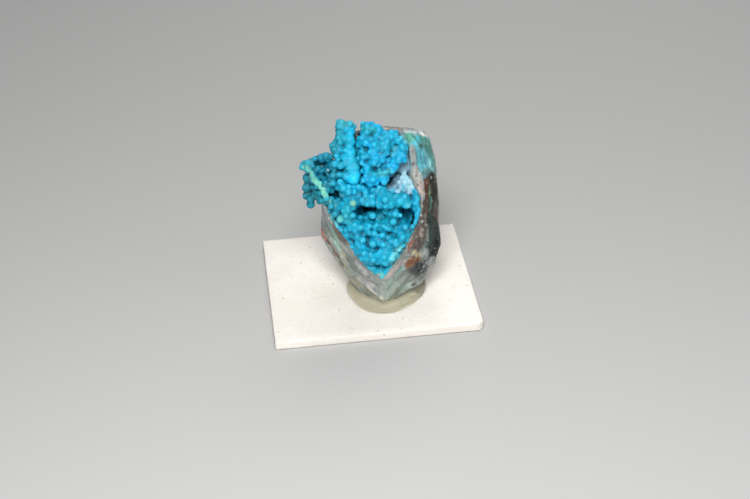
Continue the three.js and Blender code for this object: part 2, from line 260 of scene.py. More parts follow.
moved = add(foam_skin, "GeometryNodeSetPosition",
            links={0: given.outputs["Shape"], "Offset": shift}).outputs[0]
end_tree(foam_skin, given, result, moved)

foam = copy_of("foam_slab", "foam_slab_cut")
remesh(foam, FOAM_VOXEL, 1)
run_tree(foam, foam_skin, bead=BEAD, relief=BEAD_RELIEF, wave=EDGE_WAVE, ragged=EDGE_RAGGED,
         half_side=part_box("foam_slab")[1].x, finish=expanded_foam)
hand_over(foam, "foam_slab", expanded_foam)
slab_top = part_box("foam_slab")[1].z

# Mounting putty: clear tack pressed flat, with the rock's foot pushed into it. It sticks to the foam and
# to the rock, and nothing else holds the specimen.

PUTTY_VOXEL = 0.3 * MM
PUTTY_SMOOTHING = 24
PUTTY_SUNK = 0.45 * MM
PUTTY_SWELL = 0.5 * MM
PUTTY_SWELL_SIZE = 3.5 * MM
PUTTY_SWELL_LIMIT = 0.1 * MM
PUTTY_FLAT_EDGE = 0.7 * MM
PUTTY_DENT = 2.2 * MM

# Clear tack: a soft rubber, a little cloudy inside, whose pressed surface is glossy and gently uneven. It
# darkens and yellows what is seen through it.
clear_putty, tree, shader, place = new_finish("clear_mounting_putty", {
    "Base Color": linear("#f6f4e2"),
    "Roughness": 0.1,
    "IOR": 1.35,
    "Transmission Weight": 0.92,
    "Subsurface Weight": 1.0,
    "Subsurface Radius": (1, 0.98, 0.85),
    "Subsurface Scale": 2 * MM,
})
depth = add(tree, "ShaderNodeVolumeAbsorption", {"Color": linear("#e6e1b6"), "Density": 60.0})
tree.links.new(depth.outputs[0], tree.nodes["Material Output"].inputs["Volume"])
dents = add(tree, "ShaderNodeTexNoise", {"Scale": 0.5 / PUTTY_DENT, "Detail": 1, "Roughness": 0.55},
            {"Vector": place}).outputs[0]
raised(tree, shader, [(dents, 0.3 * MM, 0.4)])


def filled(piece):
    """Closes a piece's hollows, so that it wraps what is pushed into it without a gap."""
    shape = bmesh.new()
    for point in piece.data.vertices:
        shape.verts.new(point.co)
    hull = bmesh.ops.convex_hull(shape, input=shape.verts)
    inside = [part for part in hull["geom_interior"] if isinstance(part, bmesh.types.BMVert)]
    bmesh.ops.delete(shape, geom=inside, context="VERTS")
    bmesh.ops.recalc_face_normals(shape, faces=shape.faces)
    shape.to_mesh(piece.data)
    shape.free()


putty = copy_of("mounting_putty", "mounting_putty_pressed")
filled(putty)
putty.data.transform(Matrix.Translation((0, 0, -PUTTY_SUNK)))
remesh(putty, PUTTY_VOXEL, PUTTY_SMOOTHING)
facings = [point.normal.copy() for point in putty.data.vertices]
for point, facing in zip(putty.data.vertices, facings):
    swell = noise.noise(point.co / PUTTY_SWELL_SIZE) * PUTTY_SWELL
    if point.co.z > slab_top + PUTTY_FLAT_EDGE:
        point.co += facing * min(swell, PUTTY_SWELL_LIMIT)
hand_over(putty, "mounting_putty", clear_putty)

# Quartz matrix: a wedge broken from a vein of quartz and chalcedony. It parted in small flat chips along
# its layers; copper stains parts of it mint green, and iron brown and rust. Its foot stands in the putty.

LEAN = math.radians(25)
YAW = math.radians(-10)
CORNER = Vector((2.5, -16, 12)) * MM
TURN = Euler((-LEAN, 0, YAW), "XYZ")
ROCK_VOXEL = 0.27 * MM
FOOT_LEVEL = 6.5 * MM
FOOT_SINK = 0.35
PROW = Vector((3.2, -14.5)) * MM
PROW_LEVEL = 9 * MM
PROW_REACH = 6 * MM
PROW_PULL = Vector((-0.29, -0.46, 0))
# Out of the face, in millimetres: where pits end behind it, and where the rock's broken back starts
PIT_LEVEL = -6
PIT_FADE = 2
BACK_LEVEL = -8
BACK_FADE = 4
# Shares of the full roughness
GLASSY_ROUGHNESS = 0.35
BACK_ROUGHNESS = 1.3
# The layers lie along the face: chips and streaks are drawn out along them
CHIP_STRETCH = (0.4, 1, 0.4)
STREAK_STRETCH = (0.15, 1, 0.15)
# The part of a patch's reach in which it fades out
SOFT_EDGE = 0.6


def face_places(mesh):
    """Each point of a mesh as right, up and out of the growth's face, in millimetres."""
    points = np.zeros(len(mesh.vertices) * 3)
    mesh.vertices.foreach_get("co", points)
    local = (points.reshape(-1, 3) - np.array(CORNER)) @ np.array(TURN.to_matrix()) / MM
    return np.stack([local[:, 0], local[:, 2], -local[:, 1]], 1)


def from_face(right, up, out):
    """The place in the frame of a point given by its millimetres right, up and out of the face."""
    return CORNER + TURN.to_matrix() @ Vector((right, -out, up)) * MM


def near(places, route, reach):
    """1 along a route through the places, falling softly to 0 at the reach."""
    route = np.array(route, float)
    best = np.linalg.norm(places - route[0], axis=1)
    for a, b in zip(route[:-1], route[1:]):
        along = np.clip((places - a) @ (b - a) / ((b - a) @ (b - a)), 0, 1)
        best = np.minimum(best, np.linalg.norm(places - a - along[:, None] * (b - a), axis=1))
    share = np.clip((reach - best) / (reach * SOFT_EDGE), 0, 1)
    return share * share * (3 - 2 * share)


def note(mesh, name, values):
    """Keeps a value at each point of a mesh, for a material or a shape tree to read."""
    layer = mesh.attributes.new(name, "FLOAT", "POINT")
    layer.data.foreach_set("value", values.astype(np.float32))


def paint(mesh, ground, patches, wander):
    """Notes a tint at each point: the ground colour, and over it each patch with its uneven edge."""
    places = face_places(mesh)
    moved = places.copy()
    # Waves of three sizes, two of each across each other, make the edges wander
    for size in (2.9, 1.3, 0.6):
        quick = np.sin(places[:, [1, 2, 0]] * 6.28 / size + 1.7)
        slow = np.sin(places[:, [2, 0, 1]] * 4.1 / size)
        moved += (quick + slow) * wander * size / 3
    tints = np.tile(linear(ground), (len(places), 1))
    for code, reach, route in patches:
        share = near(moved, route, reach)[:, None]
        tints = tints * (1 - share) + np.array(linear(code)) * share
    layer = mesh.color_attributes.new("tint", "FLOAT_COLOR", "POINT")
    layer.data.foreach_set("color", tints.astype(np.float32).ravel())


def dig(mesh, hollows, extra=0.0):
    """Pushes the surface inwards at each hollow: its route across the face, reach and depth."""
    places = face_places(mesh)
    points = np.zeros(len(mesh.vertices) * 3)
    mesh.vertices.foreach_get("co", points)
    inward = np.array(TURN.to_matrix() @ Vector((0, 1, 0))) * MM
    front = np.clip((places[:, 2] - PIT_LEVEL) / PIT_FADE, 0, 1)
    for route, reach, depth in hollows:
        share = near(places[:, :2], route, reach) * front * (depth + extra)
        points += (share[:, None] * inward).ravel()
    mesh.vertices.foreach_set("co", points)
    mesh.update()


def set_foot(mesh):
    """Lets the foot reach deeper into the putty than the solid's foot, and its prow run on to a tip."""
    for point in mesh.vertices:
        share = max(1 - (point.co.xy - PROW).length / PROW_REACH, 0)
        point.co += PROW_PULL * max(PROW_LEVEL - point.co.z, 0) * share
        point.co.z -= max(FOOT_LEVEL - point.co.z, 0) * FOOT_SINK


def shaded(tree, tint, pattern, start, full, dark, light):
    """A tint made darker and lighter by a pattern: factors for its values at the start and where full."""
    factor = add(tree, "ShaderNodeMapRange", {
        "interpolation_type": "SMOOTHSTEP",
        "From Min": start,
        "From Max": full,
        "To Min": dark,
        "To Max": light,
    }, {"Value": pattern}).outputs[0]
    return add(tree, "ShaderNodeVectorMath", {"operation": "SCALE"}, {0: tint, "Scale": factor}).outputs[0]


def dulled(tree, shader, pattern, least, most):
    """A roughness that follows a noise pattern."""
    roughness = add(tree, "ShaderNodeMapRange", {
        "interpolation_type": "SMOOTHSTEP",
        "From Min": 0.3,
        "From Max": 0.7,
        "To Min": least,
        "To Max": most,
    }, {"Value": pattern}).outputs[0]
    tree.links.new(roughness, shader.inputs["Roughness"])


# Pits among the knobs, where the growth stays open: route across the face, reach and depth in
# millimetres
PITS = [
    ([(-6.2, 17.6), (-4.8, 18.0)], 1.8, 3.2),
    ([(-4.6, 17.9), (-2.0, 18.4)], 1.2, 3.0),
    ([(-3.0, 14.8), (-2.4, 14.9)], 1.4, 2.0),
    ([(5.9, 17.0), (7.0, 16.2), (7.5, 15.3)], 2.1, 3.4),
    ([(4.8, 18.6), (5.0, 17.4)], 1.0, 1.6),
    ([(-13.4, 22.4), (-12.3, 22.2)], 1.8, 2.6),
    ([(-14.3, 19.8)], 1.0, 1.4),
    ([(1.6, 11.7), (3.6, 11.1)], 1.0, 1.5),
    ([(-4.1, 10.6), (-3.8, 8.6), (-2.7, 7.4), (-1.4, 7.8)], 1.0, 1.0),
    ([(-2.9, 12.9)], 1.0, 1.0),
    ([(-6.3, 15.6), (-5.5, 14.8)], 1.0, 1.0),
    ([(-7.2, 11.5), (-8.7, 12.1)], 1.0, 0.8),
    ([(4.2, 14.9), (4.7, 13.9)], 1.0, 1.0),
    ([(-0.4, 25.6), (1.8, 25.6), (3.6, 26.6)], 1.6, 2.4),
    ([(-5.6, 25.1)], 1.0, 1.2),
    ([(0.7, 20.0)], 0.9, 1.0),
]

broken_rock, given, result = new_tree("broken rock", ["Chip", "Chip depth", "Ledge", "Ledge height"])
spot = add(broken_rock, "GeometryNodeInputPosition").outputs[0]
facing = add(broken_rock, "GeometryNodeInputNormal").outputs[0]
from_corner = add(broken_rock, "ShaderNodeVectorMath", {"operation": "SUBTRACT", 1: CORNER},
                  {0: spot}).outputs[0]
turned = add(broken_rock, "ShaderNodeVectorRotate", {
    "rotation_type": "EULER_XYZ",
    "invert": True,
    "Rotation": TURN,
}, {"Vector": from_corner}).outputs[0]
layered = add(broken_rock, "ShaderNodeVectorMath", {"operation": "MULTIPLY", 1: CHIP_STRETCH},
              {0: turned}).outputs[0]
per_chip, per_ledge = [
    add(broken_rock, "ShaderNodeMath", {"operation": "DIVIDE", 0: top}, {1: given.outputs[size]}).outputs[0]
    for size, top in (("Chip", 1.0), ("Ledge", 0.5))
]
chips = add(broken_rock, "ShaderNodeTexVoronoi", {"feature": "F1", "Detail": 1.0, "Roughness": 0.6},
            {"Vector": layered, "Scale": per_chip}).outputs["Color"]
level = add(broken_rock, "ShaderNodeSeparateXYZ", links={0: chips}).outputs[0]
ledges = add(broken_rock, "ShaderNodeTexNoise", {"Detail": 4.0, "Roughness": 0.6},
             {"Vector": layered, "Scale": per_ledge}).outputs[0]
rough = add(broken_rock, "GeometryNodeInputNamedAttribute",
            {"data_type": "FLOAT", "Name": "rough"}).outputs[0]
# A chip sinks further than it stands out, and a ledge does both alike
step, rise = [
    add(broken_rock, "ShaderNodeMapRange", {
        "interpolation_type": "SMOOTHSTEP",
        "From Min": low,
        "From Max": high,
        "To Min": -1,
        "To Max": proud,
    }, {"Value": pattern}).outputs[0]
    for pattern, low, high, proud in ((level, 0, 1, 0.4), (ledges, 0.25, 0.75, 1))
]
step, rise = [
    add(broken_rock, "ShaderNodeMath", {"operation": "MULTIPLY"},
        {0: height, 1: given.outputs[label]}).outputs[0]
    for height, label in ((step, "Chip depth"), (rise, "Ledge height"))
]
total = add(broken_rock, "ShaderNodeMath", {"operation": "ADD"}, {0: step, 1: rise}).outputs[0]
lively = add(broken_rock, "ShaderNodeMath", {"operation": "MULTIPLY"}, {0: total, 1: rough}).outputs[0]
shift = add(broken_rock, "ShaderNodeVectorMath", {"operation": "SCALE"},
            {0: facing, "Scale": lively}).outputs[0]
moved = add(broken_rock, "GeometryNodeSetPosition",
            links={0: given.outputs["Shape"], "Offset": shift}).outputs[0]
end_tree(broken_rock, given, result, moved)

# Stains and bands of the rock, with some painted shade: colour, reach in millimetres, route through the face
ROCK_TINTS = [
    ("#69b4c0", 6.5, [(8, 34, -1), (11, 30, -5)]),
    ("#5aa49c", 3.0, [(11.5, 35.5, -7), (13, 31, -9)]),
    # Dark bands on the right side: partly the rock's own dark stain, partly painted shade
    ("#3c3832", 3.8, [(12.8, 25, -6.5), (13.2, 17, -6)]),
    ("#222c2a", 3.6, [(13, 14, -6), (13, 7, -7)]),
    ("#5e5650", 3.6, [(9.5, 14.5, -0.5), (9, 8.5, -1.8)]),
    ("#453c34", 2.2, [(11.8, 25.2, -4.2), (11.7, 20.0, -3.0), (11.8, 14.5, -3.4)]),
    ("#6a6e6a", 4.2, [(8.5, 3.5, -3), (10, 1.5, -6)]),
    ("#9fa8a2", 3.0, [(12, 1, -9)]),
    ("#7d746a", 7.0, [(-4, 24, -16), (6, 12, -18)]),
    ("#7faaa0", 5.0, [(-10, 16, -14), (-6, 6, -16)]),
    ("#8f857c", 4.5, [(-9, 34, -16), (-3, 30, -20)]),
    ("#a3aaa4", 4.5, [(-14, 24, -10), (-13, 18, -14)]),
    ("#6f9a94", 4.0, [(3, 35, -17), (9, 30, -15)]),
    ("#5d564d", 3.5, [(2, 10, -14), (5, 4, -12)]),
    ("#8a5a42", 1.8, [(-2, 18, -20), (0, 15, -20)]),
    ("#7c4f3c", 1.5, [(8, 20, -16), (9, 17, -14)]),
    # Painted shade on the rock in the cleft between spire and fan
    ("#33484e", 2.4, [(-5.8, 38.6, -1.0), (-5.8, 32.5, -1.0)]),
    ("#9a9296", 1.3, [(0.9, 39.1, -0.0), (3.5, 38.9, -1.2), (5.9, 38.6, -3.7)]),
    ("#b4c6c0", 0.9, [(6.0, 38.4, -1.4), (8.3, 38.2, -4.2), (9.7, 37.8, -6.6)]),
    ("#cdd2ce", 1.3, [(10.2, 37.8, -7.0), (11.2, 37.2, -8.9)]),
    ("#5fa892", 2.0, [(5.8, 35.9, -0.7), (7.1, 36.7, -1.0), (8.6, 36.1, -2.2)]),
    ("#46c6da", 1.3, [(9.3, 36.1, -3.9)]),
    ("#17352f", 0.7, [(10.3, 34.7, -4.3)]),
    ("#569a90", 1.9, [(10.3, 36.3, -5.1), (11.5, 34.4, -6.6), (12.3, 32.3, -6.9)]),
    ("#62bccc", 2.3, [(8.9, 34.5, -1.8), (9.8, 32.4, -3.1), (10.8, 30.0, -4.0)]),
    ("#9fa8a6", 1.7, [(7.9, 33.5, -0.5), (8.1, 31.5, -0.5)]),
    ("#5a8688", 1.9, [(11.1, 27.4, -3.9)]),
    ("#8ccabc", 0.7, [(12.0, 37.0, -9.2), (13.0, 33.5, -9.5), (13.8, 29.8, -9.2), (13.7, 26.6, -9.3)]),
    ("#8cc6c2", 0.7, [(11.8, 30.7, -6.2), (12.5, 28.8, -6.8), (13.3, 26.9, -7.5)]),
    ("#946c62", 0.8, [(8.0, 29.9, -0.3)]),
    ("#bcbeb9", 2.2, [(8.8, 28.0, -1.1), (9.6, 26.2, -1.8), (10.1, 23.8, -1.8)]),
    ("#c2b6b0", 1.7, [(10.1, 24.6, -2.0), (10.3, 22.8, -1.4)]),
    ("#946c62", 0.5, [(8.7, 26.7, -0.9)]),
    ("#946c62", 0.5, [(9.0, 24.4, -0.5)]),
    ("#946c62", 0.5, [(10.8, 24.3, -3.2)]),
    ("#613628", 1.0, [(11.3, 25.0, -3.9), (11.2, 22.4, -3.1), (11.1, 19.9, -1.3)]),
    ("#584a40", 1.3, [(10.9, 19.7, -0.9), (11.0, 17.3, -1.1)]),
    ("#7c8c6c", 0.6, [(12.2, 25.7, -5.6), (12.2, 21.1, -3.9)]),
    ("#2f2c27", 2.0, [(13.0, 25.9, -7.0), (13.3, 22.7, -6.9), (13.1, 20.5, -4.9)]),
    ("#3f7a66", 0.7, [(12.8, 20.8, -4.4), (12.4, 17.6, -3.9)]),
    ("#a9afa9", 0.6, [(14.2, 22.3, -9.2), (14.4, 19.5, -8.5)]),
    ("#4a3f38", 1.6, [(13.6, 18.8, -6.4), (13.6, 16.4, -6.6)]),
    ("#80262c", 0.7, [(11.6, 17.0, -2.2), (11.5, 15.1, -2.4)]),
    ("#8c2a33", 0.7, [(14.0, 15.6, -7.1), (14.1, 14.2, -7.3)]),
    ("#1c3a33", 1.4, [(12.3, 15.5, -3.8), (12.2, 11.8, -4.0), (11.9, 8.0, -4.8)]),
    ("#2c3734", 1.7, [(13.5, 13.7, -6.4), (13.7, 10.5, -6.7)]),
    ("#121a19", 2.6, [(13.4, 8.7, -6.8), (13.1, 6.2, -7.2)]),
    ("#605650", 2.5, [(9.5, 13.7, -0.4), (9.4, 10.4, -1.5), (8.9, 8.0, -1.8)]),
    ("#a8948c", 0.9, [(10.0, 12.8, -1.2), (10.0, 11.2, -1.6)]),
    ("#e0dfda", 0.6, [(11.2, 13.8, -1.8)]),
    ("#cfe0d8", 0.6, [(10.2, 15.0, -0.7)]),
    ("#8a584a", 0.9, [(7.4, 9.2, -0.5), (6.6, 7.1, -0.6)]),
    ("#b4a888", 1.2, [(8.1, 6.2, -1.7), (9.3, 5.8, -3.5)]),
    ("#754a2c", 2.0, [(7.0, 3.6, -1.8), (8.5, 4.5, -3.4)]),
    ("#a5805e", 0.6, [(7.0, 4.6, -1.5), (8.5, 5.2, -3.0)]),
    ("#3a3e40", 2.2, [(8.1, 1.5, -4.4), (9.7, 2.4, -5.4)]),
    ("#8a908e", 1.4, [(11.8, 3.6, -7.0), (12.8, 4.0, -7.9)]),
    ("#39423f", 0.9, [(7.6, -2.5, -6.8)]),
    ("#b7ada8", 1.3, [(1.2, 0.5, -0.6), (3.3, 2.3, -1.0), (4.9, 4.2, -1.0)]),
    ("#86a39c", 0.9, [(2.7, 0.4, -1.8), (4.9, 2.5, -1.8)]),
    ("#a3a2a9", 1.6, [(-15.5, 16.9, -1.7), (-14.8, 14.8, -1.5), (-14.0, 13.2, -1.3)]),
    ("#736a61", 2.2, [(-12.3, 13.3, -0.3), (-11.0, 12.0, -0.3), (-10.2, 10.1, -0.4)]),
    ("#8fb6ad", 1.2, [(-14.2, 13.8, -1.4), (-13.3, 11.3, -1.8), (-11.8, 8.6, -2.5)]),
    ("#a0c8bb", 1.3, [(-12.6, 9.4, -3.3), (-11.4, 7.2, -3.9)]),
    ("#a4a591", 1.3, [(-11.1, 6.6, -3.9), (-9.8, 4.2, -4.0)]),
    ("#6f7a72", 1.3, [(-9.3, 4.3, -3.8), (-8.2, 2.4, -3.7)]),
    ("#b3b0b3", 1.9, [(-7.3, 3.1, -1.6), (-5.2, 0.4, -2.3), (-3.3, -2.7, -3.9)]),
    ("#7c9088", 1.2, [(-8.4, 3.8, -2.6), (-6.3, 1.5, -2.1)]),
    ("#a87c70", 1.7, [(-16.4, 11.5, -6.9), (-15.6, 10.5, -6.5)]),
    ("#6c4434", 1.0, [(-15.1, 9.7, -6.4), (-14.5, 8.3, -6.5)]),
    ("#8a6a58", 1.3, [(-13.7, 7.5, -6.2), (-12.9, 6.2, -6.2)]),
    ("#5a5644", 1.3, [(-12.1, 5.1, -6.0), (-11.1, 3.2, -6.3)]),
    ("#96957e", 1.2, [(-10.3, 2.5, -5.5), (-9.0, 0.0, -6.2), (-7.5, -2.5, -7.2)]),
    ("#a0b0a4", 2.4, [(1.7, -4.9, -4.2), (3.3, -3.6, -4.7), (5.1, -2.7, -6.1)]),
    ("#98ada2", 1.8, [(1.4, -2.0, -2.4), (3.0, -0.4, -3.0)]),
    ("#c6c5ba", 1.6, [(-2.3, -5.2, -4.4), (-3.6, -3.6, -4.0)]),
    ("#c0beb2", 1.5, [(-7.1, -1.2, -5.0), (-5.8, -2.8, -5.9)]),
    ("#d6d2c6", 1.2, [(-0.5, -5.9, -3.4), (-0.3, -6.9, -3.5)]),
    ("#cfc8bc", 1.2, [(12.0, 1.9, -8.1)]),
]
# Where the rock broke roughly; elsewhere its planes are glassy and smooth
ROUGH_ROUTES = [
    ([(1, 39, -2), (11, 37, -8)], 4),
    ([(12, 26, -5), (13, 14, -6), (12, 3, -8)], 6),
    ([(8, 4, -3), (9, 1, -5)], 4),
    ([(-16, 12, -7), (-10, 2, -7)], 4),
]
BLACK_LUMP = [(13.6, 9.0, -7.0), (13.0, 6.4, -7.4), (11.8, 3.4, -7.2), (9.4, 1.4, -5.2)]
BLACK_LUMP_REACH = 2.6
# Painted shade on the pits' walls: it reaches this much wider than the pits, and this far behind the face
PIT_SHADE = "#082c38"
PIT_SHADE_SPREAD = 1.6
PIT_SHADE_LEVEL = -9

# Broken quartz: glassy planes with a hard shine, into which a little light passes. Fine streaks follow
# the layers, and pale and dark flecks mark the small cracks and stains.
quartz_rock, tree, shader, place = new_finish("stained_quartz_rock", {
    "IOR": 1.54,
    "Subsurface Weight": 0.2,
    "Subsurface Radius": (1, 1, 0.9),
    "Subsurface Scale": 0.8 * MM,
})
in_face = add(tree, "ShaderNodeMapping", {"vector_type": "TEXTURE", "Location": CORNER, "Rotation": TURN},
              {"Vector": place}).outputs[0]
along = add(tree, "ShaderNodeMapping", {"Scale": STREAK_STRETCH}, {"Vector": in_face}).outputs[0]
# Each pattern: where it is read, its size in millimetres, its detail, roughness and twist
streaks, clouds, flecks, brown, mint, pale = [
    add(tree, "ShaderNodeTexNoise", {
        "Scale": 0.5 / (size * MM),
        "Detail": detail,
        "Roughness": roughness,
        "Distortion": twist,
    }, {"Vector": read}).outputs[0]
    for read, size, detail, roughness, twist in (
        (along, 0.3, 4, 0.7, 0.6),
        (place, 2.5, 4, 0.6, 0),
        (place, 0.5, 3, 0.7, 0),
        (place, 5, 5, 0.6, 0.8),
        (in_face, 6, 5, 0.6, 0.8),
        (in_face, 3, 5, 0.65, 0),
    )
]
own = add(tree, "ShaderNodeAttribute", {"attribute_name": "tint"}).outputs["Color"]
tint = shaded(tree, own, streaks, 0.35, 0.65, 0.7, 1.25)
# The break at the back cuts across the layers: brown, mint and pale blotches in place of streaks
blotches = stained(tree, own, [
    ("#84705f", brown, 0.5, 0.6, 0.8),
    ("#7fb0a2", mint, 0.54, 0.62, 0.7),
    ("#c4c6c0", pale, 0.56, 0.64, 0.7),
])
back = add(tree, "ShaderNodeAttribute", {"attribute_name": "back"}).outputs["Fac"]
tint = add(tree, "ShaderNodeMix", {"data_type": "RGBA"}, {0: back, 6: tint, 7: blotches}).outputs[2]
tint = shaded(tree, tint, clouds, 0.3, 0.7, 0.7, 1.15)
tint = stained(tree, tint, [
    ("#e4ebe5", flecks, 0.62, 0.72, 0.5),
    ("#1c2420", flecks, 0.39, 0.30, 0.7),
])
tree.links.new(tint, shader.inputs["Base Color"])
dulled(tree, shader, flecks, 0.22, 0.45)
raised(tree, shader, [(streaks, 0.15 * MM, 0.6), (flecks, 0.12 * MM, 0.5)])

rock = copy_of("quartz_matrix", "quartz_matrix_broken")
set_foot(rock.data)
remesh(rock, ROCK_VOXEL, 1)
dig(rock.data, PITS, extra=0.8)
places = face_places(rock.data)
broken = np.max([near(places, route, reach) for route, reach in ROUGH_ROUTES], axis=0)
rough = GLASSY_ROUGHNESS + (1 - GLASSY_ROUGHNESS) * broken
back = np.clip((BACK_LEVEL - places[:, 2]) / BACK_FADE, 0, 1)
rough = np.maximum(rough, BACK_ROUGHNESS * back) + near(places, BLACK_LUMP, BLACK_LUMP_REACH)
note(rock.data, "rough", rough)
note(rock.data, "back", back)
run_tree(rock, broken_rock, chip=2.0 * MM, chip_depth=0.4 * MM, ledge=0.7 * MM, ledge_height=0.16 * MM,
         finish=quartz_rock)
# Painted shade on the rock inside each pit
pit_shades = []
for route, reach, depth in PITS:
    wall = [(*spot, level) for spot in route for level in (-depth, PIT_SHADE_LEVEL)]
    pit_shades.append((PIT_SHADE, reach * PIT_SHADE_SPREAD, wall))
paint(rock.data, "#949c97", [*ROCK_TINTS, *pit_shades], wander=0.2)
hand_over(rock, "quartz_matrix", quartz_rock)

# Chrysocolla crust: copper silicate that lined the hollow with round knobs, one grown on the other. Its
# upper right part stayed a smooth, paler wall with a group of small pale beads.

KNOB_SPACING = 1.55 * MM
# Points tried on a square metre: the spacing thins them out
KNOB_DENSITY = 6 / MM ** 2
KNOB_SUNK = 0.6 * MM
GROWTH_VOXEL = 0.35 * MM
GROWTH_SMOOTHING = 3
KNOB_SMOOTHING = 14
# Knobs along a ridge: their step and stray as shares of its radius, and how much their radius varies
RIDGE_STEP = 0.8
RIDGE_STRAY = 0.4
RIDGE_RANGE = (0.75, 1.25)
RIDGE_SEED = 7
# Rounds of smoothing that tell a crease between knobs, and a broad recess, from their surroundings, for the
# painted highlight and painted shade
CREASE_ROUNDS = 20
RECESS_ROUNDS = 110
ROUND_SHARE = 0.6

# Chrysocolla: a waxy skin with a soft shine that grew in layers, and a little light passes into it. Its
# colour carries painted light: a painted highlight on the tops of the knobs, and painted shade, deep blue
# in the creases and darker in the broad recesses, with fine pale painted glints.
chrysocolla, tree, shader, place = new_finish("chrysocolla", {
    "IOR": 1.5,
    "Specular IOR Level": 0.3,
    "Subsurface Weight": 0.25,
    "Subsurface Radius": (0.2, 0.8, 1),
    "Subsurface Scale": 0.5 * MM,
})
# Each pattern: its size in millimetres, its detail and roughness
clouds, fine, drift = [
    add(tree, "ShaderNodeTexNoise", {
        "Scale": 0.5 / (size * MM),
        "Detail": detail,
        "Roughness": roughness,
    }, {"Vector": place}).outputs[0]
    for size, detail, roughness in (
        (1.6, 4, 0.6),
        (0.25, 3, 0.55),
        (4, 2, 0.55),
    )
]
hollow, recess = [
    add(tree, "ShaderNodeAttribute", {"attribute_name": name}).outputs["Fac"]
    for name in ("hollow", "recess")
]
own = add(tree, "ShaderNodeAttribute", {"attribute_name": "tint"}).outputs["Color"]
own = shaded(tree, own, clouds, 0.3, 0.7, 0.75, 1.2)
red = add(tree, "ShaderNodeSeparateColor", links={0: own}).outputs[0]
# Pale and green knobs, which have some red in them, keep their own colour on their tops, without the painted
# highlight
blue = stained(tree, own, [
    ("#149aa8", drift, 0.45, 0.7, 0.5),
    # Painted highlight: the knobs' tops lighter than their surroundings
    ("#3fd2f0", hollow, -0.02, -0.24, 0.6),
    (own, red, 0.06, 0.22, 0.9),
    # Painted shade: deep blue in the creases between knobs, and darker in the broad recesses
    ("#045c78", hollow, 0.0, 0.24, 0.8),
    ("#02303f", recess, 0.06, 0.7, 0.9),
    # Painted glints: fine pale specks
    ("#a8e6ee", fine, 0.60, 0.74, 0.5),
])
tree.links.new(blue, shader.inputs["Base Color"])
dulled(tree, shader, fine, 0.42, 0.62)
raised(tree, shader, [(fine, 0.05 * MM, 0.5)])

knobs, given, result = new_tree("knobs", ["Spacing", "Smallest", "Largest", "Sunk", "Proud"], ["Seed"])
covered = add(knobs, "GeometryNodeInputNamedAttribute",
              {"data_type": "FLOAT", "Name": "covered"}).outputs[0]
scattered = add(knobs, "GeometryNodeDistributePointsOnFaces", {
    "distribute_method": "POISSON",
    "Density Max": KNOB_DENSITY,
}, {
    "Mesh": given.outputs["Shape"],
    "Distance Min": given.outputs["Spacing"],
    "Density Factor": covered,
    "Seed": given.outputs["Seed"],
})
height, size = [
    add(knobs, "FunctionNodeRandomValue", {"data_type": "FLOAT"}, {
        2: given.outputs[least],
        3: given.outputs[most],
        "Seed": given.outputs["Seed"],
    }).outputs[1]
    for least, most in (("Sunk", "Proud"), ("Smallest", "Largest"))
]
lift = add(knobs, "ShaderNodeVectorMath", {"operation": "SCALE"},
           {0: scattered.outputs["Normal"], "Scale": height}).outputs[0]
lifted = add(knobs, "GeometryNodeSetPosition",
             links={0: scattered.outputs["Points"], "Offset": lift}).outputs[0]
ball = add(knobs, "GeometryNodeMeshIcoSphere", {"Radius": 1.0, "Subdivisions": 2}).outputs[0]
# The knobs that stand out are loose points of the shape, with their radius noted
radius = add(knobs, "GeometryNodeInputNamedAttribute",
             {"data_type": "FLOAT", "Name": "ball_size"}).outputs[0]
marked = add(knobs, "FunctionNodeCompare", {"data_type": "FLOAT", "operation": "GREATER_THAN", 1: 0.0},
             {0: radius}).outputs[0]
chosen = add(knobs, "GeometryNodeMeshToPoints",
             links={0: given.outputs["Shape"], "Selection": marked}).outputs[0]
small, large = [
    add(knobs, "GeometryNodeInstanceOnPoints",
        links={"Points": points, "Instance": ball, "Scale": scale}).outputs[0]
    for points, scale in ((lifted, size), (chosen, radius))
]
together = add(knobs, "GeometryNodeJoinGeometry")
for part in (small, large, given.outputs["Shape"]):
    knobs.links.new(part, together.inputs[0])
end_tree(knobs, given, result, together.outputs[0])


def shrink(piece, by):
    """Draws a piece in, to leave room for its knobs."""
    inward = piece.modifiers.new("inward", "DISPLACE")
    inward.mid_level = 0
    inward.strength = -by
    settle(piece)


def mark(piece, bare, balls, ridges):
    """Notes where no small knobs grow, and adds the knobs and ridges that stand out as loose points."""
    places = face_places(piece.data)
    cover = np.ones(len(places))
    for route, reach, *_ in bare:
        cover *= 1 - near(places[:, :2], route, reach)
    note(piece.data, "covered", cover)
    spots = list(balls)
    chance = random.Random(RIDGE_SEED)
    for radius, *route in ridges:
        for a, b in zip(route[:-1], route[1:]):
            a, b = Vector(a), Vector(b)
            steps = math.ceil((b - a).length / (radius * RIDGE_STEP))
            for k in range(steps + 1):
                stray = Vector([chance.uniform(-RIDGE_STRAY, RIDGE_STRAY) * radius for _ in range(3)])
                spots.append((*a.lerp(b, k / steps) + stray, radius * chance.uniform(*RIDGE_RANGE)))
    shape = bmesh.new()
    shape.from_mesh(piece.data)
    layer = shape.verts.layers.float.new("ball_size")
    for *spot, radius in spots:
        shape.verts.new(from_face(*spot))[layer] = radius * MM
    shape.to_mesh(piece.data)
    shape.free()


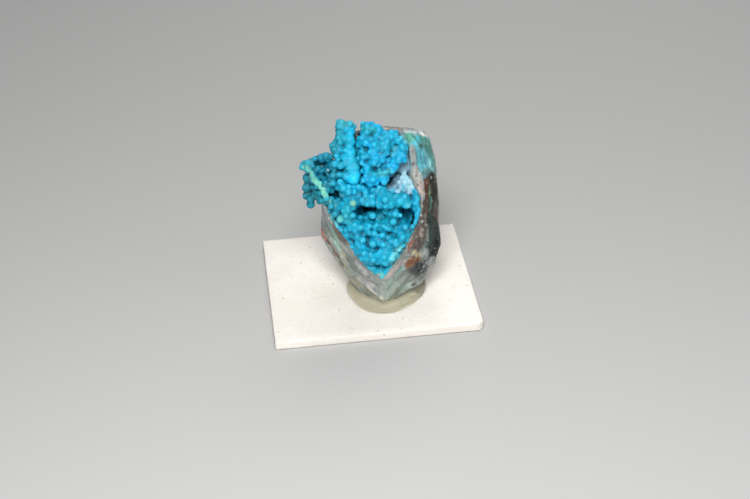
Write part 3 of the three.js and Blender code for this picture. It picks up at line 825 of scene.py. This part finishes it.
def hollows(mesh, rounds):
    """How far each point lies below its surroundings, in millimetres: for each number of rounds."""
    count = len(mesh.vertices)
    points = np.zeros(count * 3)
    mesh.vertices.foreach_get("co", points)
    points = points.reshape(-1, 3) / MM
    normals = np.zeros(count * 3)
    mesh.vertex_normals.foreach_get("vector", normals)
    edges = np.zeros(len(mesh.edges) * 2, int)
    mesh.edges.foreach_get("vertices", edges)
    a, b = edges.reshape(-1, 2).T
    ends, starts = np.concatenate([a, b]), np.concatenate([b, a])
    degree = np.maximum(np.bincount(ends, minlength=count), 1)[:, None]
    even = points.copy()
    found = []
    for turn in range(max(rounds)):
        total = np.stack([np.bincount(ends, even[starts, k], count) for k in range(3)], 1)
        even = even * (1 - ROUND_SHARE) + total / degree * ROUND_SHARE
        if turn + 1 in rounds:
            found.append(((even - points) * normals.reshape(-1, 3)).sum(1))
    return found


def grow(node, small, balls, ridges, tints, seed, bare=(), pits=(), shrunk=0.3, ground="#059fc2",
         voxel=0.18):
    """One fork of the growth: its solid, drawn in and evened out, covered with knobs and joined again.
    The small knobs' least and largest radius, the shrinking and the voxel are in millimetres."""
    piece = copy_of(node, node + "_knobs")
    remesh(piece, GROWTH_VOXEL, GROWTH_SMOOTHING)
    shrink(piece, shrunk * MM)
    dig(piece.data, pits)
    mark(piece, [*bare, *pits], balls, ridges)
    run_tree(piece, knobs, spacing=KNOB_SPACING, smallest=small[0] * MM, largest=small[1] * MM,
             sunk=-KNOB_SUNK, proud=0.0, seed=seed, finish=chrysocolla)
    remesh(piece, voxel * MM, KNOB_SMOOTHING)
    # These measures place the painted highlight on the knobs' tops and the painted shade in creases and
    # recesses
    crease, recess = hollows(piece.data, (CREASE_ROUNDS, RECESS_ROUNDS))
    note(piece.data, "hollow", crease)
    note(piece.data, "recess", recess)
    paint(piece.data, ground, tints, wander=0.08)
    hand_over(piece, node, chrysocolla)


# Knobs that stand out: right, up, out and radius in millimetres
CRUST_BALLS = [
    (-15.2, 19.0, -1.4, 0.82), (-14.2, 17.7, -1.4, 0.82), (-13.1, 16.4, -1.5, 0.82),
    (-12.2, 14.5, -1.5, 0.82), (-10.9, 15.7, 1.3, 1.2), (-9.4, 16.6, 2.5, 0.82),
    (-10.8, 13.6, -1.5, 0.82), (-10.3, 19.6, 0.9, 0.98), (-10.3, 22.1, 2.2, 0.82),
    (-14.1, 24.1, -1.6, 0.76), (-7.6, 20.0, 2.6, 1.14), (-8.8, 17.9, 2.5, 0.87),
    (-6.1, 24.2, 2.0, 0.82), (-6.3, 22.0, 1.7, 0.71), (-4.2, 22.6, 2.9, 0.87), (-2.8, 24.5, 0.9, 0.82),
    (-1.4, 24.7, 0.1, 0.82), (0.3, 23.9, 0.7, 0.93), (1.2, 22.9, -1.5, 0.87), (1.7, 21.5, 2.7, 1.04),
    (-1.1, 22.8, 2.6, 0.93), (-2.4, 21.6, 3.5, 0.82), (-5.0, 20.7, 3.2, 0.93), (-3.7, 19.8, 3.5, 0.93),
    (-2.3, 20.0, 3.4, 0.93), (-1.0, 20.8, 2.5, 0.76), (-0.9, 19.4, 2.3, 0.82), (0.5, 21.0, 3.3, 0.82),
    (2.2, 19.8, 2.7, 1.09), (2.9, 18.8, 1.2, 0.82), (4.8, 20.3, 2.7, 1.2), (3.8, 21.5, 2.0, 0.87),
    (6.0, 21.5, 2.6, 0.82), (8.4, 22.0, -1.6, 0.93), (8.6, 20.5, -1.5, 0.87), (8.5, 18.9, -1.6, 0.93),
    (6.8, 19.1, 1.8, 0.82), (-0.3, 0.0, -0.6, 0.5), (0.2, 0.4, -0.6, 0.5), (-0.8, 0.5, -0.5, 0.5),
    (-2.6, 16.4, -0.1, 1.06), (3.5, 16.9, 2.2, 0.98), (0.9, 17.5, 0.2, 0.93), (0.3, 15.7, -1.5, 0.87),
    (2.9, 14.9, 1.5, 1.09), (4.7, 16.6, 2.0, 0.76), (6.0, 13.5, 1.9, 0.93), (7.8, 13.5, 0.3, 0.82),
    (1.2, 13.2, 1.4, 0.82), (-5.2, 13.6, -0.1, 1.09), (-6.6, 14.5, 0.7, 0.98), (-3.4, 13.8, 1.2, 0.82),
    (-1.6, 13.9, 0.7, 0.82), (-7.1, 12.5, 1.4, 0.87), (-4.9, 11.5, -0.7, 0.82), (-2.1, 11.8, 1.6, 0.98),
    (-0.0, 11.3, 1.8, 0.93), (5.2, 10.8, 1.1, 0.98), (3.5, 9.9, 2.1, 0.87), (1.6, 9.4, 1.5, 0.87),
    (0.2, 9.0, 2.1, 0.93), (-2.4, 9.2, 2.3, 1.17), (-5.9, 8.7, 1.0, 0.98), (-5.6, 10.4, 1.0, 0.82),
    (-8.0, 10.0, -1.6, 0.98), (-8.1, 8.3, 0.1, 0.71), (-4.3, 7.3, 1.6, 0.82), (-4.1, 5.9, 2.2, 0.87),
    (-6.4, 6.9, 0.5, 0.82), (-1.1, 6.8, 0.8, 0.82), (-2.4, 5.7, 1.8, 0.82), (0.7, 7.0, 1.7, 1.04),
    (2.7, 6.0, 1.6, 0.71), (2.0, 4.9, 2.0, 0.65), (-3.0, 4.2, 1.4, 0.82), (-1.6, 4.4, 0.8, 0.76),
    (-0.4, 4.8, 1.7, 0.82), (0.8, 4.0, 1.6, 0.87), (-1.3, 2.6, -1.4, 0.71), (-2.4, 2.7, -0.2, 0.71),
    (-0.3, 0.7, -1.2, 0.6), (4.3, 7.6, 1.0, 0.76), (5.5, 8.6, 0.7, 0.65), (6.4, 9.9, -0.2, 0.65),
    (-6.0, 15.8, -1.6, 0.82), (-7.6, 16.6, 1.6, 0.87), (-8.4, 14.2, 0.8, 0.87), (-9.4, 15.0, 1.2, 0.76),
]
# The small pale beads on the smooth wall
WALL_BEADS = [
    (5.6, 27.5, -1.0, 0.66), (5.0, 26.2, -1.0, 0.68), (6.4, 26.3, -0.9, 0.66), (4.2, 25.0, -1.1, 0.66),
    (5.7, 25.0, -0.9, 0.7), (7.1, 25.1, -0.9, 0.64), (4.9, 23.8, -0.9, 0.7), (6.3, 23.8, -0.8, 0.68),
    (7.6, 23.7, -0.9, 0.62), (4.0, 22.6, -0.8, 0.68), (5.5, 22.6, -0.7, 0.7), (7.0, 22.5, -0.8, 0.68),
]
# Patches of colour: colour, reach, route through the face
CRUST_TINTS = [
    ("#74c8bc", 0.7, [(-13.7, 20.0, 0.9), (-12.5, 19.3, 0.5), (-12.2, 17.6, 0.1)]),
    ("#5c9cb4", 0.9, [(-14.1, 24.0, -1.0)]),
    ("#6c9ca8", 0.9, [(-10.3, 22.1, 2.7)]),
    ("#8cc8a0", 1.2, [(-7.5, 19.9, 3.2)]),
    ("#68c4b4", 1.4, [(-11.0, 15.8, 2.1)]),
    ("#1b9cb2", 2.4, [(-9.0, 18.5, 2.9), (-8.6, 15.5, 2.2)]),
    ("#86a9b8", 3.0, [(6.0, 30.9, -1.4), (4.6, 27.6, -1.4), (2.6, 24.7, -1.9)]),
    *[("#a4ccd8", 1.1, [bead[:3]]) for bead in WALL_BEADS],
    ("#22a4c8", 1.6, [(1.9, 22.3, 2.3), (4.3, 21.5, 3.0), (6.4, 21.5, 2.9)]),
    ("#4cb4cc", 1.2, [(6.8, 19.1, 2.3)]),
    ("#0f84ac", 1.7, [(5.5, 13.6, 2.6), (7.8, 13.0, 0.9)]),
    ("#7ee6e8", 1.0, [(-2.8, 24.6, 1.1), (-1.6, 24.8, 0.5)]),
    ("#6cc0b0", 0.6, [(2.0, 3.6, 0.6), (4.3, 6.7, 0.2), (6.2, 9.6, -0.4), (8.3, 13.6, -0.6)]),
    ("#72d4dc", 1.1, [(2.4, 5.3, 1.8), (3.4, 6.6, 1.5), (4.6, 8.2, 1.2)]),
    ("#62bcb8", 1.2, [(-0.4, 0.8, -0.3), (-0.3, 0.0, -0.3)]),
    ("#58b8c4", 1.2, [(-13.9, 16.4, -0.9), (-12.3, 14.3, -0.9)]),
    ("#1b5c4a", 1.1, [(-14.5, 19.8, -2.1)]),
]
# Where no small knobs grow: a route across the face, and its reach
SMOOTH_WALL = ([(6.2, 31.5), (5.0, 27.5), (3.0, 24.5)], 3.0)
# Ridges and rims: radius, then the route that they follow
CRUST_RIDGES = [
    (1.2, (6.9, 32.5, -2.3), (6.0, 29.5, -2.6), (4.6, 26.5, -3.3), (3.0, 24.2, -3.3)),
    (1.1, (7.4, 30.5, -2.2), (7.2, 27.5, -2.9), (6.4, 24.5, -3.3)),
    (0.45, (7.6, 28.8, -1.3), (7.9, 25.5, -1.2), (8.4, 23.0, -1.0)),
    (0.45, (-13.7, 20.0, 0.6), (-12.5, 19.3, 0.2), (-12.2, 17.6, -0.2)),
    (0.65, (-15.0, 17.8, -1.2), (-12.3, 13.7, -1.2), (-9.4, 10.6, -1.0), (-6.6, 6.3, -0.4),
     (-3.5, 2.9, -0.3)),
    (0.65, (-3.5, 2.9, -0.3), (-1.9, 1.6, -0.6), (-0.2, 0.6, -0.7), (0.7, 1.5, -0.8), (1.8, 3.1, -0.7)),
    (0.7, (-2.4, 2.9, -1.0), (-0.6, 1.8, -1.3), (0.7, 2.6, -1.3)),
    (0.7, (1.8, 3.1, -0.7), (4.2, 6.5, -1.0), (6.3, 9.9, -1.1), (8.4, 13.9, -1.0)),
    (0.7, (8.4, 13.9, -1.0), (9.1, 16.2, -1.2), (9.3, 18.3, -1.2), (9.2, 20.9, -1.2), (8.8, 23.0, -1.0)),
]

grow("chrysocolla_crust", (0.55, 1.05), CRUST_BALLS + WALL_BEADS, CRUST_RIDGES,
     CRUST_TINTS, seed=3, bare=[SMOOTH_WALL], pits=PITS, shrunk=0.15, voxel=0.21)

# Chrysocolla fan: the fork at the upper right, a thick plate of even round knobs with a pale outer edge. It
# grew out from the crust at its foot, and its left side over the cleft carries painted shade.

FAN_BALLS = [
    (-3.5, 39.7, 3.4, 0.93), (-2.2, 39.2, 3.5, 0.82), (-4.3, 37.8, 2.9, 0.93), (-3.1, 37.5, 2.3, 0.76),
    (-3.8, 35.6, 4.3, 1.0), (-1.6, 35.1, 4.5, 0.98), (-0.5, 36.1, 2.2, 0.93), (1.1, 36.3, 3.1, 1.04),
    (0.6, 37.2, 2.3, 0.82), (-0.8, 38.2, 3.3, 0.82), (2.5, 36.7, 2.4, 1.09), (3.8, 37.3, 2.5, 0.93),
    (1.6, 37.4, 3.3, 0.82), (-0.4, 39.0, 2.6, 0.76), (5.2, 36.7, 3.3, 0.82), (6.3, 35.6, 2.8, 0.76),
    (4.5, 36.0, 3.3, 0.98), (1.2, 34.3, 4.3, 1.04), (2.6, 35.1, 2.5, 0.93), (-1.9, 33.3, 4.0, 1.04),
    (1.4, 33.0, 3.6, 1.04), (0.4, 32.0, 3.9, 0.95), (-1.1, 31.6, 4.9, 0.82), (-4.5, 31.9, 3.7, 0.95),
    (-3.3, 32.2, 3.2, 0.82), (3.7, 33.9, 2.2, 0.98), (5.6, 34.4, 3.5, 0.93), (6.5, 34.0, 3.1, 0.76),
    (5.6, 32.5, 2.3, 1.09), (3.6, 32.4, 2.4, 0.98), (4.6, 30.9, 3.4, 1.04), (3.1, 30.3, 2.5, 0.71),
    (1.8, 31.0, 2.3, 0.82), (0.7, 30.0, 2.2, 0.93), (-0.6, 29.1, 2.3, 0.76), (-2.0, 30.4, 4.2, 1.09),
    (-3.6, 29.0, 3.4, 0.98), (-2.8, 27.8, 2.3, 1.09), (2.9, 28.3, 3.6, 0.98), (1.2, 27.9, 3.5, 0.82),
    (2.0, 29.5, 3.3, 0.82), (-0.3, 27.7, 3.3, 0.82), (-1.8, 26.4, 2.9, 0.93), (-3.9, 26.9, 3.3, 0.93),
    (-4.6, 25.8, 3.2, 0.76), (-2.9, 25.8, 3.4, 0.76), (-5.0, 30.4, 3.6, 0.76),
]
FAN_TINTS = [
    # Painted shade along the fan's left side over the cleft
    ("#0b5468", 1.6, [(-5.5, 39.6, 0.6), (-5.4, 36.2, 0.4), (-5.7, 32.6, 0.6)]),
    ("#1c8f9e", 2.0, [(-4.2, 39.4, 3.0), (-2.2, 38.4, 3.4)]),
    ("#0684a8", 2.0, [(-3.6, 36.0, 2.6), (-3.6, 33.6, 2.6)]),
    ("#3fa8c4", 1.6, [(3.7, 33.9, 2.8), (2.6, 32.7, 2.8)]),
    ("#5cbccc", 1.0, [(5.6, 37.3, 4.1), (6.8, 35.7, 3.2)]),
    ("#34a2b0", 1.6, [(-0.3, 27.8, 3.7), (1.9, 28.3, 4.3)]),
]
FAN_RIDGES = [
    (0.8, (-4.0, 39.8, 1.6), (-4.0, 36.4, 1.2), (-4.3, 32.8, 1.4)),
    (0.6, (-4.6, 40.6, 2.4), (-3.0, 40.4, 2.6), (-1.2, 39.7, 2.6)),
]
FAN_PITS = [
    ([(-4.2, 34.1), (-3.6, 34.0)], 1.0, 1.0),
    ([(-3.0, 31.2)], 0.9, 0.8),
    ([(-4.9, 29.1)], 0.9, 1.0),
    ([(1.6, 32.0)], 0.9, 0.7),
    ([(3.9, 35.1), (6.3, 35.2)], 0.8, 0.7),
]

grow("chrysocolla_fan", (0.7, 1.0), FAN_BALLS, FAN_RIDGES, FAN_TINTS, seed=5,
     pits=FAN_PITS, ground="#04a6d6")

# Chrysocolla spire: the fork at the upper left, a tall column whose right side is smooth and bright, with
# round knobs down its left side and a paler cap. It grew up from the crust.

SPIRE_BALLS = [
    (-10.2, 40.8, 2.0, 1.04), (-11.2, 39.8, 1.9, 0.93), (-8.1, 40.5, 2.2, 1.04), (-7.1, 39.9, 1.3, 0.8),
    (-9.9, 39.5, 2.2, 1.04), (-10.5, 38.2, 1.8, 1.04), (-11.4, 38.7, 0.9, 0.76),
    (-11.0, 36.9, 2.8, 0.71), (-10.4, 36.1, 2.1, 0.93), (-9.7, 34.7, 0.9, 1.09),
    (-11.9, 35.9, 1.8, 0.82), (-12.8, 34.9, 2.3, 0.93), (-12.0, 34.0, 3.0, 0.82),
    (-10.9, 33.8, 2.8, 0.82), (-10.3, 32.8, 1.6, 0.93), (-9.6, 31.5, 2.9, 0.87),
    (-11.6, 32.3, 3.3, 0.87), (-11.1, 31.3, 4.0, 0.71), (-12.0, 30.2, 3.6, 1.09),
    (-10.6, 29.7, 3.2, 1.09), (-8.8, 30.2, 3.1, 0.82), (-12.6, 28.6, 1.5, 0.82),
    (-10.8, 27.3, 2.5, 0.98), (-9.2, 26.7, 3.0, 1.04), (-12.5, 26.8, 1.6, 1.09),
    (-12.7, 25.1, 1.6, 0.98), (-9.6, 24.6, 1.4, 0.87), (-6.3, 27.5, 1.8, 0.93), (-5.4, 28.0, 1.0, 0.82),
    (-6.4, 29.8, -0.0, 0.82),
]
SPIRE_TINTS = [
    ("#16869c", 2.6, [(-11.6, 38.6, 2.0), (-12.4, 34.2, 2.4), (-12.4, 28.4, 2.4)]),
    ("#389eb0", 2.0, [(-10.6, 41.0, 2.4), (-7.4, 40.5, 2.6)]),
    ("#12b4de", 2.4, [(-7.8, 38.2, 2.8), (-7.9, 34.8, 2.6), (-7.4, 31.7, 3.0)]),
    ("#16c0ea", 2.4, [(-7.0, 30.2, 3.7), (-7.5, 26.6, 3.9), (-7.5, 23.6, 3.2)]),
]
SPIRE_RIDGES = [
    (1.25, (-7.9, 39.4, 1.4), (-8.2, 36.3, 1.5), (-8.0, 32.4, 1.8)),
    (1.5, (-7.8, 31.2, 1.8), (-7.0, 29.4, 2.0), (-7.4, 26.4, 2.1), (-7.5, 23.6, 1.8)),
]
SMOOTH_COLUMN = ([(-7.4, 38.5), (-7.8, 35.5), (-7.2, 31.0), (-7.0, 28.5), (-7.6, 24.0)], 1.9)
SPIRE_PITS = [
    ([(-10.3, 30.8)], 0.9, 0.9),
    ([(-11.8, 28.3), (-10.5, 28.6)], 1.0, 1.2),
    ([(-13.4, 28.8), (-13.2, 27.6)], 1.0, 1.4),
    ([(-11.2, 34.0)], 0.8, 0.7),
    ([(-6.4, 26.2), (-6.3, 24.6)], 0.8, 1.2),
]

grow("chrysocolla_spire", (0.7, 1.0), SPIRE_BALLS, SPIRE_RIDGES, SPIRE_TINTS, seed=8,
     bare=[SMOOTH_COLUMN], pits=SPIRE_PITS)

# Chrysocolla left branch: the arm that reaches out to the left from the spire's foot, with a mint green
# lower edge and teal drops hanging behind it, their dark teal partly their own colour and partly painted
# shade.

BRANCH_BALLS = [
    (-21.0, 29.7, 0.8, 0.79), (-20.3, 30.2, 0.5, 1.04), (-19.3, 30.3, 1.4, 1.14),
    (-17.4, 31.6, 1.6, 0.82), (-15.8, 31.9, 1.3, 1.09), (-14.4, 32.3, 1.7, 1.09),
    (-13.5, 32.1, 1.5, 0.93), (-17.0, 28.8, 0.2, 1.09), (-18.1, 29.6, 1.3, 0.82),
    (-14.0, 28.5, 1.8, 0.6), (-17.1, 24.2, 1.4, 0.82), (-15.9, 20.6, -0.2, 0.9),
    (-19.8, 26.2, -1.1, 1.0), (-20.1, 23.8, -1.8, 1.3), (-20.2, 21.7, -3.0, 1.25),
    (-19.1, 20.9, -2.1, 1.15), (-19.2, 19.4, -2.9, 1.25), (-18.1, 24.1, -0.9, 1.1),
    (-17.9, 21.9, -1.6, 1.1), (-18.3, 25.8, 0.4, 1.0), (-17.0, 22.8, -0.6, 1.1),
    (-16.6, 21.2, -0.9, 1.0), (-16.2, 22.6, 0.3, 0.9), (-21.0, 29.1, 1.2, 0.54),
    (-19.5, 29.3, 1.7, 0.54), (-20.4, 28.8, 1.4, 0.42), (-19.2, 28.6, 2.1, 0.63),
    (-18.2, 28.1, 2.2, 0.51), (-18.5, 26.7, 2.2, 0.5), (-17.6, 27.3, 1.9, 0.42),
    (-17.1, 26.5, 2.1, 0.64), (-17.3, 25.3, 2.1, 0.52), (-16.0, 25.3, 2.4, 0.65),
    (-17.0, 24.6, 2.1, 0.42), (-16.1, 24.0, 2.5, 0.59), (-15.0, 23.7, 2.5, 0.49),
    (-15.4, 22.4, 2.3, 0.66), (-14.6, 23.0, 2.0, 0.42), (-14.3, 22.1, 2.1, 0.52),
    (-14.4, 20.9, 1.8, 0.65), (-13.4, 20.5, 1.5, 0.55), (-14.4, 19.9, 1.2, 0.42),
]
BRANCH_TINTS = [
    # The drops' dark teal: partly their own colour, partly painted shade where they hang behind the arm
    ("#0e6070", 3.4, [(-20.4, 25.4, -1.5), (-20.3, 22.8, -1.8), (-19.2, 19.8, -2.4), (-17.5, 23.3, -1.0)]),
    # Painted highlights on the drops' left edges
    ("#3a8f96", 1.0, [(-21.3, 23.9, -2.0)]),
    ("#3a8f96", 1.0, [(-21.3, 21.7, -3.0)]),
    ("#3a8f96", 1.0, [(-20.2, 19.1, -2.9)]),
    ("#2c90a6", 1.8, [(-20.4, 30.3, 0.9), (-18.9, 30.6, 1.9)]),
    ("#8fb6a2", 0.9, [(-21.7, 29.8, 0.8)]),
    ("#74c4b0", 1.1, [(-20.0, 29.4, 1.9), (-18.8, 28.7, 2.6), (-18.1, 27.1, 2.5), (-17.3, 25.8, 2.4)]),
    ("#74c4b0", 1.1, [(-17.3, 25.8, 2.4), (-16.0, 24.8, 2.8), (-15.3, 23.5, 2.8)]),
    ("#74c4b0", 1.1, [(-15.3, 23.5, 2.8), (-14.9, 22.1, 2.4), (-13.8, 20.3, 1.6)]),
    ("#7496a0", 0.8, [(-14.0, 28.5, 2.2)]),
]
BRANCH_RIDGES = [
    (1.1, (-13.4, 31.4, 0.4), (-13.0, 28.8, 0.6), (-12.8, 25.5, 0.6)),
    (0.5, (-20.2, 29.3, 1.0), (-18.8, 28.6, 1.6), (-18.1, 27.1, 1.7), (-17.3, 25.8, 1.6)),
    (0.5, (-17.3, 25.8, 1.6), (-16.0, 24.8, 1.9), (-15.3, 23.5, 1.9), (-14.9, 22.1, 1.6),
     (-14.0, 20.8, 1.2)),
]
# The drops that hang below are smooth and large, without small knobs
PENDANTS = ([(-20.0, 26.0), (-20.0, 23.0), (-18.5, 20.0), (-17.8, 24.0)], 2.8)
BRANCH_PITS = [
    ([(-16.6, 30.4), (-15.0, 30.2), (-13.7, 29.8)], 1.5, 1.9),
    ([(-15.8, 27.4), (-15.6, 26.8)], 1.2, 2.0),
]

# The branch's dark ground is partly its own teal and partly painted shade
grow("chrysocolla_left_branch", (0.8, 1.0), BRANCH_BALLS, BRANCH_RIDGES, BRANCH_TINTS,
     seed=13, bare=[PENDANTS], pits=BRANCH_PITS, shrunk=0.35, ground="#0b7892")

# Studio: a pale floor, a large soft light above the front, a weaker one at the right and one behind, and
# the camera where the photograph was taken from.

FLOOR_SIZE = 1.6
SKY = "#dfe3e6"
SKY_STRENGTH = 0.30

floor_mesh = bpy.data.meshes.new("floor")
half = FLOOR_SIZE / 2
corners = [(-half, -half, 0), (half, -half, 0), (half, half, 0), (-half, half, 0)]
floor_mesh.from_pydata(corners, [], [(0, 1, 2, 3)])
floor = bpy.data.objects.new("floor", floor_mesh)
bpy.context.collection.objects.link(floor)
# Matt paint, pale grey
floor_paint = new_finish("floor_paint", {"Base Color": linear("#bdbcba"), "Roughness": 0.8})[0]
floor_mesh.materials.append(floor_paint)

world = bpy.data.worlds.new("studio")
world.use_nodes = True
sky = world.node_tree.nodes["Background"]
sky.inputs["Color"].default_value = linear(SKY)
sky.inputs["Strength"].default_value = SKY_STRENGTH
bpy.context.scene.world = world
bpy.context.scene.view_settings.view_transform = "Standard"

# Name, place in metres, size in metres, power in watts
LIGHTS = [
    ("key", (-0.04, -0.28, 0.32), 0.18, 1.75),
    ("fill", (0.38, -0.20, 0.25), 0.30, 0.1),
    ("back", (0.12, 0.36, 0.38), 0.30, 0.65),
]
LIGHTS_AIM = Vector((0, 0, 22 * MM))
for name, spot, width, power in LIGHTS:
    lamp = bpy.data.lights.new(name, "AREA")
    lamp.shape = "DISK"
    lamp.size = width
    lamp.energy = power
    light = bpy.data.objects.new(name, lamp)
    light.location = spot
    light.rotation_euler = (LIGHTS_AIM - Vector(spot)).to_track_quat("-Z", "Y").to_euler()
    bpy.context.collection.objects.link(light)

# The camera's place and aim were fitted to the slab's four corners; its lens is given in the photo's pixels
CAMERA_PLACE = Vector((-35.83, -428.11, 256.77)) * MM
CAMERA_AIM = Vector((0.0767, 0.8653, -0.4953))
CAMERA_ROLL = math.radians(2.753)
FOCAL_PIXELS = 1832
FRAME_WIDTH = 750
SENSOR_WIDTH = 36

lens = bpy.data.cameras.new("camera")
lens.sensor_width = SENSOR_WIDTH
lens.lens = FOCAL_PIXELS / FRAME_WIDTH * SENSOR_WIDTH
lens.clip_start = 0.01
camera = bpy.data.objects.new("camera", lens)
aim = CAMERA_AIM.normalized()
level_right = aim.cross(Vector((0, 0, 1))).normalized()
level_up = level_right.cross(aim)
right = level_right * math.cos(CAMERA_ROLL) - level_up * math.sin(CAMERA_ROLL)
up = level_up * math.cos(CAMERA_ROLL) + level_right * math.sin(CAMERA_ROLL)
camera.matrix_world = Matrix.Translation(CAMERA_PLACE) @ Matrix((right, up, -aim)).transposed().to_4x4()
bpy.context.collection.objects.link(camera)
bpy.context.scene.camera = camera
